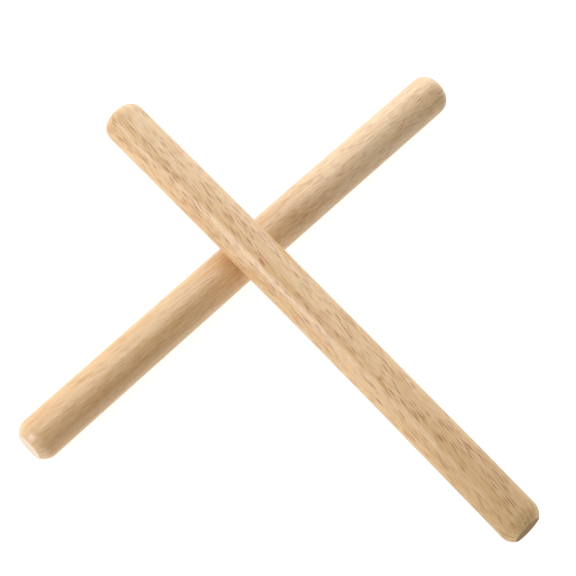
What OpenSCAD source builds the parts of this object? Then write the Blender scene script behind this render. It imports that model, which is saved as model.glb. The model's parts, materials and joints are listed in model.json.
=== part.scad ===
// A pair of claves: two plain round hardwood sticks, struck together, shown crossed and at rest.
// The held clave lies flat on the ground. The striking clave leans across it, with the rounded
// edge of one end on the ground and its barrel resting on the held clave's barrel.
// Millimetres, +Z up, the ground at z = 0. The origin is on the ground, under the middle of the
// crossed pair's bounding box.

/* [Clave] */
// Length of each clave, from end face to end face
clave_length = 246; // [200:1:300]
// Diameter of each barrel
clave_diameter = 19; // [15:0.5:25]
// Radius of the rounded edge between the barrel and each end face
end_round = 5.5; // [2:0.1:7]

/* [Crossing] */
// Heading of the held clave in plan, anticlockwise from +X, in degrees
held_heading = 46; // [0:1:90]
// Angle in plan from the held clave to the striking clave, in degrees
crossing_angle = 87.5; // [75:0.5:105]
// Plan distance from the striking clave's resting edge to the held clave's axis
rest_to_crossing = 161.5; // [110:0.5:185]
// Distance along the held clave from its middle to the crossing, positive along its heading
crossing_offset = -2.5; // [-80:0.5:80]
// Clearance between the two barrels where they cross
contact_gap = 0.02; // [0.01:0.01:0.1]

/* [Hidden] */
$fn = 96;

barrel_radius = clave_diameter / 2;
// Radius of the flat end face
face_radius = barrel_radius - end_round;
// From the middle of a clave to where its rounded ends begin
half_barrel = clave_length / 2 - end_round;

striking_heading = held_heading + crossing_angle;
// Seen from the side, the striking barrel's underside is the straight line that passes under the
// circle of the resting edge's rounding and over the circle of the held barrel
resting_slope = atan2(barrel_radius - end_round, rest_to_crossing);
circle_distance = norm([rest_to_crossing, barrel_radius - end_round]);
tilt = resting_slope + asin((end_round + barrel_radius + contact_gap) / circle_distance);

// Unit vector in plan
function heading(angle) = [cos(angle), sin(angle), 0];

// Half the bounding box of a clave that points along a unit vector
function half_box(along) = [
    for (c = along) half_barrel * abs(c) + face_radius * sqrt(max(0, 1 - c * c)) + end_round
];

// Both centres, measured from the crossing point on the ground
held_from_crossing = [0, 0, barrel_radius] - crossing_offset * heading(held_heading);
striking_from_crossing =
    [0, 0, end_round + half_barrel * sin(tilt) + face_radius * cos(tilt)]
    + (half_barrel * cos(tilt) - face_radius * sin(tilt) - rest_to_crossing)
    * heading(striking_heading);

// The middle of the crossed pair's bounding box, in plan
held_box = half_box(heading(held_heading));
striking_box = half_box(cos(tilt) * heading(striking_heading) + [0, 0, sin(tilt)]);
middle = [
    for (i = [0, 1])
        (min(held_from_crossing[i] - held_box[i], striking_from_crossing[i] - striking_box[i])
        + max(held_from_crossing[i] + held_box[i], striking_from_crossing[i] + striking_box[i])) / 2
];
to_origin = -[middle[0], middle[1], 0];

// Half of a clave's section, to the right of its axis
module half_section() {
    translate([0, -half_barrel])
        square([barrel_radius, 2 * half_barrel]);
    translate([0, -clave_length / 2])
        square([face_radius, clave_length]);
    for (end = [0, 1])
        mirror([0, end])
            translate([face_radius, half_barrel])
                intersection() {
                    circle(end_round);
                    square(end_round);
                }
}

// One solid clave, its axis along +Z and its middle at the origin
module turned_stick() {
    rotate_extrude()
        half_section();
}

// The clave that the player cradles in one hand, which lies on the ground
module held_clave() {
    color("tan")
        translate(held_from_crossing + to_origin)
            rotate([0, 90, held_heading])
                turned_stick();
}

// The clave that strikes, which leans across the held clave
module striking_clave() {
    color("burlywood")
        translate(striking_from_crossing + to_origin)
            rotate([0, 90 - tilt, striking_heading])
                turned_stick();
}

held_clave();
striking_clave();
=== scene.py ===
"""Looks of a crossed pair of claves: two turned and lacquered hardwood sticks.

Metres throughout, in the CAD frame: +Z up, the ground at z = 0. Each stick is a closed lathe mesh
in a frame of its own: the middle of the stick at the origin, +Z along the axis towards the far end,
+Y as near to straight up as the stick's slope lets it be. The wood's bands and fibres are a solid
texture in that frame, and its vessels are laid round the stick's side.
"""

import json
import math
import bmesh
import bpy
from mathutils import Euler, Matrix, Vector, noise

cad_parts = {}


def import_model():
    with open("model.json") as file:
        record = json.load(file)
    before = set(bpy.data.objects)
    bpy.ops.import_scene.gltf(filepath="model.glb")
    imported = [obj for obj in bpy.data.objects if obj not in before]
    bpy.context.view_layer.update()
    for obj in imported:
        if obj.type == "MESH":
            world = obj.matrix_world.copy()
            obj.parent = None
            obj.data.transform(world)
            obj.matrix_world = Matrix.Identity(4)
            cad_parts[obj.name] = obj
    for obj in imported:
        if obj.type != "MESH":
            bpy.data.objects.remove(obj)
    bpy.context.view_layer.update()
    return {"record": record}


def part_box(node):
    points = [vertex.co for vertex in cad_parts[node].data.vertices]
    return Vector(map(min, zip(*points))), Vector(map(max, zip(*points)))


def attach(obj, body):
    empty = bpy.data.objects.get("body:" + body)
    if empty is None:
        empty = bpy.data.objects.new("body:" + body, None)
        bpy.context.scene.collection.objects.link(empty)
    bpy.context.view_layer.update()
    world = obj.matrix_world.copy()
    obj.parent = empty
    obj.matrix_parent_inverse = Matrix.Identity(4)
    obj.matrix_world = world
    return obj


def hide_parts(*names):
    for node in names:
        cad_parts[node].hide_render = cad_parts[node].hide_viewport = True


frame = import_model()

MM = 0.001
UP = Vector((0, 0, 1))

# Lathe mesh: how finely a stick is divided
SPOKES = 144
BARREL_STEP = 1.8 * MM
SHOULDER_STEPS = 12
EDGE_STEPS = 6
FACE_STEPS = 5
# The small edge between an end's shoulder and its flat face
EDGE_RADIUS = 0.8 * MM
# Hand sanding: the barrel stays this close to round, and each end loses this much of its length
SANDING_DEPTH = 0.07 * MM
END_SANDING = 0.15 * MM
# The size of a sanding mark: across the stick and along it
SANDING_MARK = (6 * MM, 22 * MM)
# An end sawn off square: the slant fades out along the barrel between these distances from the end,
# and turns about a line this share of the radius below the axis
SLANT_FULL = 9 * MM
SLANT_FADED = 30 * MM
SLANT_PIVOT = 0.67

# Camera: a long lens, looking steeply down at a point a little to the right of the frame's middle
# and behind it
LENS = 103.5
SENSOR = 36
CAMERA_ELEVATION = math.radians(61.1)
CAMERA_AZIMUTH = math.radians(0.17)
CAMERA_DISTANCE = 0.712
CAMERA_AIM = Vector((4.5, 7.7, 0)) * MM

# Studio light: every lamp's distance from the frame's origin, and the light's colour
LAMP_DISTANCE = 0.85
LAMP_COLOUR = (0.98, 1.0, 1.03)

# Half a vessel's length, as a share of the length of its patch
DASH_SHARE = 0.45
# How far the grain wanders, and over what length across and along it, in millimetres
WANDER = 0.9
WANDER_ACROSS = 14
WANDER_ALONG = 50
# The wood's shades, as factors of its own pale colour
LIGHT_SHADE = (1.05, 1.08, 1.14, 1)
TAN_SHADE = (0.95, 0.9, 0.83, 1)
STREAK_SHADE = (0.87, 0.66, 0.37, 1)
PORE_SHADE = (0.38, 0.14, 0.01, 1)
# How high the grain's relief stands when it is strongest
RELIEF = 0.05 * MM


class Stick:
    """One clave's place, from its two end faces, and the frame that its mesh is built in."""

    def __init__(self, near_end, far_end):
        mounts = {mount["name"]: mount for mount in frame["record"]["mounts"]}
        near = Vector(mounts[near_end]["pos_m"])
        far = Vector(mounts[far_end]["pos_m"])
        along = (far - near).normalized()
        across = UP.cross(along).normalized()
        above = along.cross(across)
        self.half_length = (far - near).length / 2
        self.matrix = Matrix((across, above, along)).transposed().to_4x4()
        self.matrix.translation = (near + far) / 2


low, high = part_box("held_clave")
BARREL_RADIUS = (high.z - low.z) / 2
HELD = Stick("held_left_end", "held_right_end")
STRIKING = Stick("striking_resting_end", "striking_raised_end")


# ---------------------------------------------------------------- turned sticks


def arc(centre, radius, start, end, steps):
    """Points on a round part of the profile. Its turns are measured from the barrel's side."""
    turns = [start + (end - start) * i / steps for i in range(steps + 1)]
    return [(centre[0] + radius * math.sin(t), centre[1] + radius * math.cos(t)) for t in turns]


def half_profile(half_length, shoulder, shoulder_turn):
    """(distance from the stick's middle, radius), from there to just short of the face's centre.

    The barrel turns in by shoulder_turn round a wide shoulder, and by the rest of a right angle
    round a small edge.
    """
    inset = shoulder - EDGE_RADIUS
    barrel_end = half_length - EDGE_RADIUS - inset * math.sin(shoulder_turn)
    face_radius = BARREL_RADIUS - shoulder + inset * math.cos(shoulder_turn)
    rings = math.ceil(barrel_end / BARREL_STEP)
    points = [(barrel_end * i / rings, BARREL_RADIUS) for i in range(rings)]
    shoulder_centre = (barrel_end, BARREL_RADIUS - shoulder)
    points += arc(shoulder_centre, shoulder, 0, shoulder_turn, SHOULDER_STEPS)
    edge_centre = (half_length - EDGE_RADIUS, face_radius)
    points += arc(edge_centre, EDGE_RADIUS, shoulder_turn, math.pi / 2, EDGE_STEPS)[1:]
    points += [(half_length, face_radius * (1 - i / FACE_STEPS)) for i in range(1, FACE_STEPS)]
    return points


def hand_made(point, stick, bow, slant, seed):
    """A point of the perfect lathe form, sanded a little deeper here than there, on a bowed stick.

    The near end leans back by slant at its top, as if it had been sawn a little off square.
    """
    x, y, z = point
    across, along = SANDING_MARK
    patch = Vector((x / across, y / across, z / along + seed))
    kept = 1 - SANDING_DEPTH / BARREL_RADIUS * (0.5 + 0.5 * noise.noise(patch))
    sideways = bow * (1 - (z / stick.half_length) ** 2)
    from_end = z + stick.half_length
    share = min(1, max(0, (SLANT_FADED - from_end) / (SLANT_FADED - SLANT_FULL)))
    back = math.tan(slant) * (y + SLANT_PIVOT * BARREL_RADIUS) * share
    return Vector((x * kept + sideways, y * kept, z + back))


def turned_stick(name, stick, near_shoulder, far_shoulder, bow, slant, seed):
    """A closed, smooth lathe mesh, with each end's own shoulder: its radius and how far it turns.

    The middle of the stick lies bow to the side of the line between its ends, and its near face is
    slant off square.
    """
    half_length = stick.half_length - END_SANDING
    near = half_profile(half_length, *near_shoulder)
    far = half_profile(half_length, *far_shoulder)
    rings = [(-z, radius) for z, radius in reversed(near)] + far[1:]
    mesh = bmesh.new()
    loops = []
    for z, radius in rings:
        loop = []
        for spoke in range(SPOKES):
            turn = 2 * math.pi * spoke / SPOKES
            point = Vector((radius * math.cos(turn), radius * math.sin(turn), z))
            loop.append(mesh.verts.new(hand_made(point, stick, bow, slant, seed)))
        loops.append(loop)
    for ring, following in zip(loops, loops[1:]):
        for spoke in range(SPOKES):
            after = (spoke + 1) % SPOKES
            mesh.faces.new((ring[spoke], ring[after], following[after], following[spoke]))
    for loop, z in ((loops[0][::-1], -half_length), (loops[-1], half_length)):
        centre = mesh.verts.new(hand_made((0, 0, z), stick, bow, slant, seed))
        for spoke in range(SPOKES):
            mesh.faces.new((loop[spoke], loop[(spoke + 1) % SPOKES], centre))
    for face in mesh.faces:
        face.smooth = True
    mesh.transform(stick.matrix)
    data = bpy.data.meshes.new(name)
    mesh.to_mesh(data)
    mesh.free()
    piece = bpy.data.objects.new(name, data)
    bpy.context.scene.collection.objects.link(piece)
    return piece


# ---------------------------------------------------------------- wood


class Graph:
    """Adds nodes to a material. Each method returns the socket that the next one takes."""

    def __init__(self, name):
        self.material = bpy.data.materials.new(name)
        self.material.use_nodes = True
        self.tree = self.material.node_tree
        self.tree.nodes.clear()

    def add(self, kind, inputs, output=0, **settings):
        node = self.tree.nodes.new(kind)
        for key, value in settings.items():
            setattr(node, key, value)
        for key, value in inputs.items():
            if isinstance(value, bpy.types.NodeSocket):
                self.tree.links.new(value, node.inputs[key])
            else:
                node.inputs[key].default_value = value
        return node.outputs[output] if node.outputs else None

    def maths(self, operation, *values):
        return self.add("ShaderNodeMath", dict(enumerate(values)), operation=operation)

    def vector(self, operation, a, b, output="Vector"):
        return self.add("ShaderNodeVectorMath", {0: a, 1: b}, output, operation=operation)

    def parts(self, vector, axes):
        return [self.add("ShaderNodeSeparateXYZ", {"Vector": vector}, axis) for axis in axes]

    def mixed(self, share, a, b, blend="MIX"):
        inputs = {0: share, 6: a, 7: b}
        return self.add("ShaderNodeMix", inputs, 2, data_type="RGBA", blend_type=blend)

    def between(self, value, start, end, low=0.0, high=1.0):
        """A smooth step from low at start to high at end."""
        inputs = {"Value": value, "From Min": start, "From Max": end, "To Min": low, "To Max": high}
        return self.add("ShaderNodeMapRange", inputs, interpolation_type="SMOOTHSTEP")

    def stretched(self, place, across, along, shift=0.0):
        """Coordinates in which a feature across wide and along long has a size of 1."""
        inputs = {
            "Vector": place,
            "Location": (shift, shift * 0.61, shift * 0.37),
            "Scale": (1 / across, 1 / across, 1 / along),
        }
        return self.add("ShaderNodeMapping", inputs)

    def shaded(self, colour, factors):
        return self.mixed(1.0, colour, factors, "MULTIPLY")

    def noise(self, place, detail=2.0, output="Fac"):
        inputs = {"Vector": place, "Scale": 1.0, "Detail": detail}
        return self.add("ShaderNodeTexNoise", inputs, output)

    def patches(self, place, output):
        """Patches about 1 by 1 of the XY plane: each one's centre, or each one's chance colour."""
        inputs = {"Vector": place, "Scale": 1.0}
        return self.add("ShaderNodeTexVoronoi", inputs, output, voronoi_dimensions="2D")

    def bump(self, strength, height):
        inputs = {"Strength": strength, "Distance": RELIEF, "Height": height}
        return self.add("ShaderNodeBump", inputs)

    def surface(self, inputs):
        shader = self.add("ShaderNodeBsdfPrincipled", inputs)
        self.add("ShaderNodeOutputMaterial", {"Surface": shader})


def in_millimetres(graph, matrix, shift=(0, 0, 0)):
    """The shaded point in millimetres, in the frame that matrix places."""
    into_frame = matrix.inverted()
    inputs = {
        "Vector": graph.add("ShaderNodeTexCoord", {}, "Object"),
        "Location": into_frame.to_translation() / MM + Vector(shift),
        "Rotation": into_frame.to_euler(),
        "Scale": (1 / MM, 1 / MM, 1 / MM),
    }
    return graph.add("ShaderNodeMapping", inputs)


def log_place(graph, stick, lean, seed):
    """Millimetres in the log that the stick was cut from: Z along its slightly wavy grain.

    lean is the grain's slope against the stick's axis, sideways and up.
    """
    lean_turn = Euler((-math.atan(lean[1]), math.atan(lean[0]), 0)).to_matrix().to_4x4()
    straight = in_millimetres(graph, stick.matrix @ lean_turn, (seed, 0, 0))
    bend = graph.noise(graph.stretched(straight, WANDER_ACROSS, WANDER_ALONG), 1.0, output="Color")
    bend = graph.vector("SUBTRACT", bend, (0.5, 0.5, 0.5))
    bend = graph.vector("MULTIPLY", bend, (WANDER, WANDER, 0))
    return graph.vector("ADD", straight, bend)


def side_place(graph, stick, lean):
    """Millimetres on the stick's side: X round it from its top, Y along it, with leaning grain."""
    x, y, z = graph.parts(in_millimetres(graph, stick.matrix), "XYZ")
    turn = graph.maths("ARCTAN2", x, y)
    round_side = graph.maths("MULTIPLY", turn, BARREL_RADIUS / MM)
    across_grain = graph.maths("MULTIPLY_ADD", z, -lean, round_side)
    return graph.add("ShaderNodeCombineXYZ", {"X": across_grain, "Y": z})


def vessels(graph, side, across, along, half_width, shift):
    """Thin dashes where the surface cuts vessels open, 1 at their middle, some darker than others.

    There is one in each patch of the side, about across wide and along long.
    """
    stretch = {"Vector": side, "Location": (shift, shift, 0), "Scale": (1 / across, 1 / along, 1)}
    place = graph.add("ShaderNodeMapping", stretch)
    centre = graph.patches(place, "Position")
    chance = graph.patches(place, "Color")
    offset = graph.vector("SUBTRACT", place, centre)
    offset = graph.vector("MULTIPLY", offset, (across / half_width, 1 / DASH_SHARE, 0))
    x, y = graph.parts(offset, "XY")
    rim = graph.maths("MULTIPLY_ADD", y, y, graph.maths("ABSOLUTE", x))
    depth = graph.between(graph.parts(chance, "X")[0], 0.15, 0.65)
    return graph.maths("MULTIPLY", graph.between(rim, 1.0, 0.3), depth)


def along_stick(graph, stick):
    """How far along the stick: 0 at the near end, 1 at the far end."""
    inverse = stick.matrix.inverted()
    axis = Vector(inverse.row[2][:3])
    place = graph.add("ShaderNodeTexCoord", {}, "Object")
    height = graph.vector("DOT_PRODUCT", place, axis, output="Value")
    scale = 0.5 / stick.half_length
    return graph.maths("MULTIPLY_ADD", height, scale, inverse.row[2][3] * scale + 0.5)


def open_vessels(graph, log, side, seed):
    """All the vessels: strong ones in some parts of the log, and faint ones in most of it."""
    parts = graph.noise(graph.stretched(log, 4.2, 12, 19.0), 1.0)
    strong = vessels(graph, side, 0.95, 7.5, 0.22, seed)
    strong = graph.maths("MULTIPLY", strong, graph.between(parts, 0.42, 0.52))
    faint = vessels(graph, side, 0.75, 6.0, 0.17, seed + 31)
    faint = graph.maths("MULTIPLY", faint, graph.between(parts, 0.34, 0.52, 0.25, 0.7))
    return graph.maths("MAXIMUM", strong, faint)


def grained(graph, log, pale, fibres, pores):
    """The pale wood's colour with its bands, streaks, fibres and vessels."""
    bands = graph.noise(graph.stretched(log, 3.2, 70, 3.0))
    streaks = graph.noise(graph.stretched(log, 0.9, 22, 7.0))
    light = graph.shaded(pale, LIGHT_SHADE)
    streak = graph.shaded(pale, STREAK_SHADE)
    colour = graph.mixed(graph.between(bands, 0.3, 0.7), light, graph.shaded(pale, TAN_SHADE))
    colour = graph.mixed(graph.between(streaks, 0.5, 0.75, 0.0, 0.6), colour, streak)
    colour = graph.mixed(graph.between(fibres, 0.5, 0.68, 0.0, 0.5), colour, streak)
    colour = graph.mixed(graph.between(fibres, 0.47, 0.33, 0.0, 0.9), colour, light)
    return graph.mixed(pores, colour, graph.shaded(pale, PORE_SHADE))


def lacquered(graph, colour, fibres, pores, end_grain):
    """Wood with a shallow relief under a satin film, which is thin on the sawn faces."""
    height = graph.maths("MULTIPLY", fibres, 0.06)
    height = graph.maths("SUBTRACT", height, graph.maths("MULTIPLY", pores, 0.25))
    rough = graph.maths("MULTIPLY_ADD", fibres, 0.12, 0.38)
    rough = graph.maths("MULTIPLY_ADD", pores, 0.2, rough)
    rough = graph.maths("MULTIPLY_ADD", end_grain, 0.3, rough)
    graph.surface({
        "Base Color": colour,
        "Roughness": rough,
        "Normal": graph.bump(1.0, height),
        "IOR": 1.5,
        "Specular IOR Level": graph.maths("MULTIPLY_ADD", end_grain, -0.4, 0.5),
        "Coat Weight": graph.maths("MULTIPLY_ADD", end_grain, -0.65, 0.75),
        "Coat Roughness": 0.28,
        "Coat Normal": graph.bump(0.5, height),
    })


def wood(name, stick, seed, lean, near, far, reach, shoulder_painted_light, face, pore_shares):
    """Lacquered hardwood.

    The pale wood's colour runs from near to far over the given reach of the stick's length. Round
    the near end's shoulder it is made paler by the given factors: painted light, standing in for
    light that the lamps leave off that shoulder. The sawn faces have a colour of their own, into
    which painted light (held clave) and painted shade (striking clave) are mixed.
    pore_shares are how strongly the vessels show on the near and on the far half.
    """
    graph = Graph(name)
    log = log_place(graph, stick, lean, seed)
    fibres = graph.noise(graph.stretched(log, 0.34, 12, 11.0), 3.0)
    pores = open_vessels(graph, log, side_place(graph, stick, lean[0]), seed)
    length = along_stick(graph, stick)
    pale = graph.mixed(graph.between(length, *reach), near, far)
    dark_pores = graph.maths("MULTIPLY", pores, graph.between(length, 0.4, 0.6, *pore_shares))
    colour = grained(graph, log, pale, fibres, dark_pores)

    normal = graph.add("ShaderNodeTexCoord", {}, "Normal")
    facing = graph.vector("DOT_PRODUCT", normal, Vector(stick.matrix.col[2][:3]), output="Value")
    # Painted light: the near end's shoulder is made paler, standing in for light the lamps leave
    # off it
    painted_light_shoulder = graph.shaded(colour, shoulder_painted_light)
    colour = graph.mixed(graph.between(facing, -0.1, -0.6), colour, painted_light_shoulder)
    end_grain = graph.between(graph.maths("ABSOLUTE", facing), 0.88, 0.96)
    end_streaks = graph.between(fibres, 0.4, 0.65, 0.0, 0.3)
    # The sawn faces' colour carries painted light on the held clave and painted shade on the
    # striking one
    sawn_face_with_painted_light = graph.mixed(end_streaks, face, graph.shaded(pale, STREAK_SHADE))
    lacquered(graph, graph.mixed(end_grain, colour, sawn_face_with_painted_light), fibres, pores, end_grain)
    return graph.material


def finish_piece(piece, node, material):
    """Makes piece stand for the CAD node, whose body has the same name."""
    piece.data.materials.append(material)
    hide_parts(node)
    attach(piece, node)


NEAR_TURN = math.radians(55)
FAR_TURN = math.radians(75)
held_clave = turned_stick(
    "held_clave_wood", HELD, (7.3 * MM, NEAR_TURN), (5.7 * MM, FAR_TURN),
    bow=0.4 * MM, slant=0.0, seed=4.0,
)
striking_clave = turned_stick(
    "striking_clave_wood", STRIKING, (6.5 * MM, NEAR_TURN), (5.4 * MM, FAR_TURN),
    bow=-0.58 * MM, slant=math.radians(6), seed=9.0,
)
held_wood = wood(
    "held_lacquered_wood", HELD, 40.0, (-0.07, 0.03),
    near=(0.79, 0.51, 0.252, 1), far=(0.885, 0.637, 0.38, 1), reach=(0.0, 0.9),
    # The shoulder factors paint light onto the near shoulder; the pale face colour is painted light
    # on the sawn ends
    shoulder_painted_light=(1.07, 1.12, 1.3, 1), face=(0.88, 0.77, 0.64, 1), pore_shares=(0.33, 0.6),
)
striking_wood = wood(
    "striking_lacquered_wood", STRIKING, 90.0, (-0.11, 0.045),
    near=(0.665, 0.43, 0.188, 1), far=(0.845, 0.568, 0.297, 1), reach=(-0.1, 0.35),
    # The shoulder factors paint light onto the near shoulder; the dark face colour is painted shade
    # on the sawn ends
    shoulder_painted_light=(1.3, 1.37, 1.42, 1), face=(0.42, 0.27, 0.14, 1), pore_shares=(1.0, 1.0),
)
finish_piece(held_clave, "held_clave", held_wood)
finish_piece(striking_clave, "striking_clave", striking_wood)


# ---------------------------------------------------------------- studio


def floor():
    """A table that glows white, more at its left. The camera sees almost no shadow on it."""
    half = 4.0
    data = bpy.data.meshes.new("floor")
    corners = [(-half, -half, 0), (half, -half, 0), (half, half, 0), (-half, half, 0)]
    data.from_pydata(corners, [], [(0, 1, 2, 3)])
    plane = bpy.data.objects.new("floor", data)
    bpy.context.scene.collection.objects.link(plane)
    graph = Graph("white_table")
    place = graph.add("ShaderNodeTexCoord", {}, "Object")
    sideways = graph.vector("DOT_PRODUCT", place, (1, 0, 0), output="Value")
    glow = graph.between(sideways, -0.2, 0.2, 0.82, 0.54)
    seen = graph.add("ShaderNodeLightPath", {}, "Is Camera Ray")
    graph.surface({
        "Base Color": (0.4, 0.4, 0.4, 1),
        "Roughness": 0.9,
        "Emission Color": graph.mixed(seen, (1.07, 0.985, 0.83, 1), (1, 1, 1, 1)),
        "Emission Strength": graph.maths("MAXIMUM", glow, graph.maths("MULTIPLY", seen, 0.88)),
    })
    data.materials.append(graph.material)


def soft_box(name, azimuth, elevation, size, power):
    """A square lamp facing the frame's origin, with its azimuth anticlockwise from +X."""
    turn, rise = math.radians(azimuth), math.radians(elevation)
    level = math.cos(rise)
    towards = Vector((math.cos(turn) * level, math.sin(turn) * level, math.sin(rise)))
    data = bpy.data.lights.new(name, "AREA")
    data.shape = "SQUARE"
    data.size = size
    data.energy = power
    data.color = LAMP_COLOUR
    lamp = bpy.data.objects.new(name, data)
    lamp.location = towards * LAMP_DISTANCE
    lamp.rotation_euler = towards.to_track_quat("Z", "Y").to_euler()
    lamp.visible_camera = False
    bpy.context.scene.collection.objects.link(lamp)


def world(left, behind, above):
    """A glow from the left, from behind and from above, which the camera sees as plain white."""
    data = bpy.data.worlds.new("studio")
    data.use_nodes = True
    tree = data.node_tree

    def vector(operation, a, b):
        node = tree.nodes.new("ShaderNodeVectorMath")
        node.operation = operation
        tree.links.new(a, node.inputs[0])
        node.inputs[1].default_value = b
        return node.outputs["Value" if operation == "DOT_PRODUCT" else "Vector"]

    direction = tree.nodes.new("ShaderNodeTexCoord").outputs["Generated"]
    lit_sides = vector("MAXIMUM", vector("MULTIPLY", direction, (-1, 1, 1)), (0, 0, 0))
    glow = vector("DOT_PRODUCT", lit_sides, (left, behind, above))
    ray = tree.nodes.new("ShaderNodeLightPath")
    brightness = tree.nodes.new("ShaderNodeMath")
    brightness.operation = "MAXIMUM"
    tree.links.new(glow, brightness.inputs[0])
    tree.links.new(ray.outputs["Is Camera Ray"], brightness.inputs[1])
    background = tree.nodes["Background"]
    background.inputs["Color"].default_value = (*LAMP_COLOUR, 1)
    tree.links.new(brightness.outputs["Value"], background.inputs["Strength"])
    bpy.context.scene.world = data


def camera():
    data = bpy.data.cameras.new("camera")
    data.lens = LENS
    data.sensor_width = SENSOR
    eye = bpy.data.objects.new("camera", data)
    back = Vector((
        math.sin(CAMERA_AZIMUTH) * math.cos(CAMERA_ELEVATION),
        -math.cos(CAMERA_AZIMUTH) * math.cos(CAMERA_ELEVATION),
        math.sin(CAMERA_ELEVATION),
    ))
    eye.location = CAMERA_AIM + back * CAMERA_DISTANCE
    eye.rotation_euler = back.to_track_quat("Z", "Y").to_euler()
    bpy.context.scene.collection.objects.link(eye)
    bpy.context.scene.camera = eye


floor()
world(0.43, 1.26, 0.21)
soft_box("above_behind", 105, 68, 0.6, 2.0)
soft_box("low_behind", 75, 20, 0.6, 1.1)
soft_box("left", 210, 34, 0.28, 1.82)
soft_box("low_left", 210, 10, 0.28, 0.52)
camera()
bpy.context.scene.view_settings.view_transform = "Standard"
